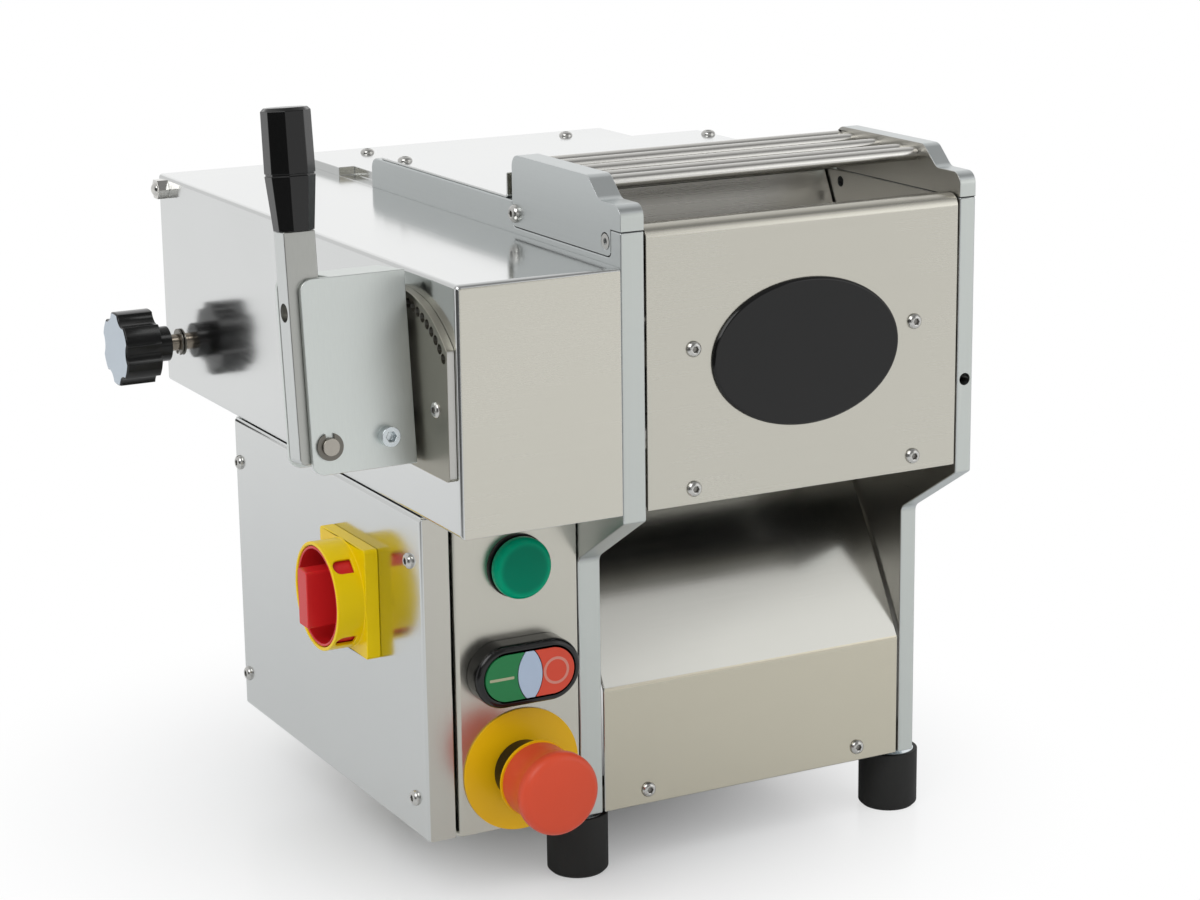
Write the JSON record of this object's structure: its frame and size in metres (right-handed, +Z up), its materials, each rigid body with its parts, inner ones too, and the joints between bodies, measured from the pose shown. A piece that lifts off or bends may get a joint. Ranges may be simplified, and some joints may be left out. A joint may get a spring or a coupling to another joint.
{
  "type": "pasta sheeter",
  "caption": "Motorised pasta sheeter: geared rollers between side plates under a barred hopper, with an outlet chute, thickness lever, gear housing and control box.",
  "frame": {"origin": "on the table, at the middle of the floor rectangle that the whole machine covers", "axes": "+X to the right as the user faces the outlet chute, +Y to the back, +Z up"},
  "size_m": [0.3474, 0.3804, 0.3846],
  "materials": {
    "stainless_sheet": "brushed stainless sheet",
    "side_plate_metal": "satin milled plate",
    "bar_steel": "ground bar",
    "roller_steel": "ground and polished",
    "gear_steel": "cut teeth, oiled",
    "bush_bronze": "turned bronze",
    "shaft_steel": "turned",
    "screw_steel": "bright stainless",
    "zinc": "blue zinc plate",
    "spring_wire": "drawn wire",
    "bracket_steel": "zinc grey, brushed",
    "bar_aluminium": "bright milled",
    "handle_black": "glossy moulded",
    "knob_black": "moulded thermoset",
    "foot_rubber": "matt",
    "badge_black": "domed resin",
    "motor_grey": "semi-gloss paint",
    "device_black": "moulded",
    "contact_grey": "moulded",
    "pilot_green": "clear moulded lens",
    "start_green": "moulded",
    "stop_red": "moulded",
    "lens_white": "milky moulded lens",
    "legend_yellow": "printed sheet",
    "estop_red": "satin moulded",
    "switch_yellow": "moulded",
    "switch_red": "moulded"
  },
  "bodies": {
    "frame": {"front_panel": "stainless_sheet", "outlet_chute": "stainless_sheet", "hopper_back_wall": "stainless_sheet", "top_cover": "stainless_sheet", "rear_cover": "stainless_sheet", "back_panel": "stainless_sheet", "gear_housing": "stainless_sheet", "side_cover": "stainless_sheet", "control_box": "stainless_sheet", "left_side_plate": "side_plate_metal", "right_side_plate": "side_plate_metal", "left_guard_cheek": "side_plate_metal", "right_guard_cheek": "side_plate_metal", "guard_rods": "bar_steel", "tie_bars": "bar_steel", "plate_bushes": "bush_bronze", "idler_stud": "shaft_steel", "machine_screws": "screw_steel", "cheek_screws": "screw_steel", "tie_bar_screws": "screw_steel", "cap_nut": "screw_steel", "foot_studs": "zinc", "sector_plate": "bracket_steel", "feet": "foot_rubber", "badge": "badge_black", "gearmotor": "motor_grey", "pilot_bezel": "device_black", "button_bezel": "device_black", "estop_collar": "device_black", "contact_blocks": "contact_grey", "switch_body": "contact_grey", "pilot_lens": "pilot_green", "button_lens": "lens_white", "estop_legend": "legend_yellow", "switch_shroud": "switch_yellow"},
    "thickness_lever": {"eccentric_shaft": "shaft_steel", "lever_bracket": "bracket_steel", "pivot_pin": "shaft_steel", "pivot_clips": "screw_steel", "lever_spring": "spring_wire", "bracket_cap_screw": "screw_steel"},
    "lever_arm": {"lever_bar": "bar_aluminium", "lever_handle": "handle_black", "index_pin": "shaft_steel"},
    "roller_carrier": {"front_roller_bushes": "bush_bronze"},
    "front_roll": {"front_roller": "roller_steel", "front_roller_gear": "gear_steel"},
    "rear_roll": {"rear_roller": "roller_steel", "rear_roller_gear": "gear_steel", "drive_gear": "gear_steel"},
    "idler": {"idler_gear": "gear_steel"},
    "pinion": {"motor_pinion": "gear_steel"},
    "start_push": {"start_button": "start_green"},
    "stop_push": {"stop_button": "stop_red"},
    "estop_plunger": {"estop_stem": "device_black"},
    "estop_mushroom": {"estop_head": "estop_red"},
    "main_switch": {"switch_handle": "switch_red"},
    "adjuster": {"star_knob": "knob_black", "adjuster_shaft": "shaft_steel", "adjuster_rings": "screw_steel"}
  },
  "joints": [
    {"name": "thickness_select", "type": "hinge", "parent": "frame", "child": "thickness_lever", "pos_m": [-0.16505, -0.1378, 0.236], "axis": [1, 0, 0], "range_deg": [0, 45]},
    {"name": "lever_release", "type": "hinge", "parent": "thickness_lever", "child": "lever_arm", "pos_m": [-0.15655, -0.13794, 0.23451], "axis": [0, -0.9954, 0.0958], "range_deg": [0, 6], "stiffness_Nm_per_rad": 1.2, "springref_deg": -11.46},
    {"name": "front_roller_gap", "type": "slide", "parent": "frame", "child": "roller_carrier", "axis": [0, -1, 0], "range_m": [0, 0.0031]},
    {"name": "front_roller_spin", "type": "hinge", "parent": "roller_carrier", "child": "front_roll", "pos_m": [-0.01575, -0.13627, 0.23985], "axis": [1, 0, 0], "continuous": true},
    {"name": "rear_roller_spin", "type": "hinge", "parent": "frame", "child": "rear_roll", "pos_m": [-0.01575, -0.07567, 0.23985], "axis": [1, 0, 0], "continuous": true},
    {"name": "idler_spin", "type": "hinge", "parent": "frame", "child": "idler", "pos_m": [-0.02775, -0.00037, 0.23985], "axis": [1, 0, 0], "continuous": true},
    {"name": "pinion_spin", "type": "hinge", "parent": "frame", "child": "pinion", "pos_m": [-0.02775, 0.05743, 0.23985], "axis": [1, 0, 0], "continuous": true},
    {"name": "start_press", "type": "slide", "parent": "frame", "child": "start_push", "axis": [0, 1, 0], "range_m": [0, 0.003], "stiffness_N_per_m": 800, "springref_m": -0.002},
    {"name": "stop_press", "type": "slide", "parent": "frame", "child": "stop_push", "axis": [0, 1, 0], "range_m": [0, 0.003], "stiffness_N_per_m": 800, "springref_m": -0.002},
    {"name": "estop_press", "type": "slide", "parent": "frame", "child": "estop_plunger", "axis": [0, 1, 0], "range_m": [0, 0.004], "stiffness_N_per_m": 900, "springref_m": -0.003},
    {"name": "estop_twist", "type": "hinge", "parent": "estop_plunger", "child": "estop_mushroom", "pos_m": [-0.05945, -0.1618, 0.064], "axis": [0, 1, 0], "range_deg": [0, 45], "stiffness_Nm_per_rad": 0.05, "springref_deg": -5.73},
    {"name": "main_switch_turn", "type": "hinge", "parent": "frame", "child": "main_switch", "pos_m": [-0.11875, -0.0668, 0.14], "axis": [1, 0, 0], "range_deg": [0, 90]},
    {"name": "adjuster_turn", "type": "hinge", "parent": "frame", "child": "adjuster", "pos_m": [-0.12875, 0.1672, 0.2195], "axis": [1, 0, 0], "continuous": true}
  ],
  "couplings": [
    {"joint": "front_roller_gap", "follows": "thickness_select", "m_per_rad": 0.003898},
    {"joint": "front_roller_spin", "follows": "rear_roller_spin", "ratio": -1},
    {"joint": "idler_spin", "follows": "rear_roller_spin", "ratio": -1},
    {"joint": "pinion_spin", "follows": "rear_roller_spin", "ratio": 1.875}
  ]
}
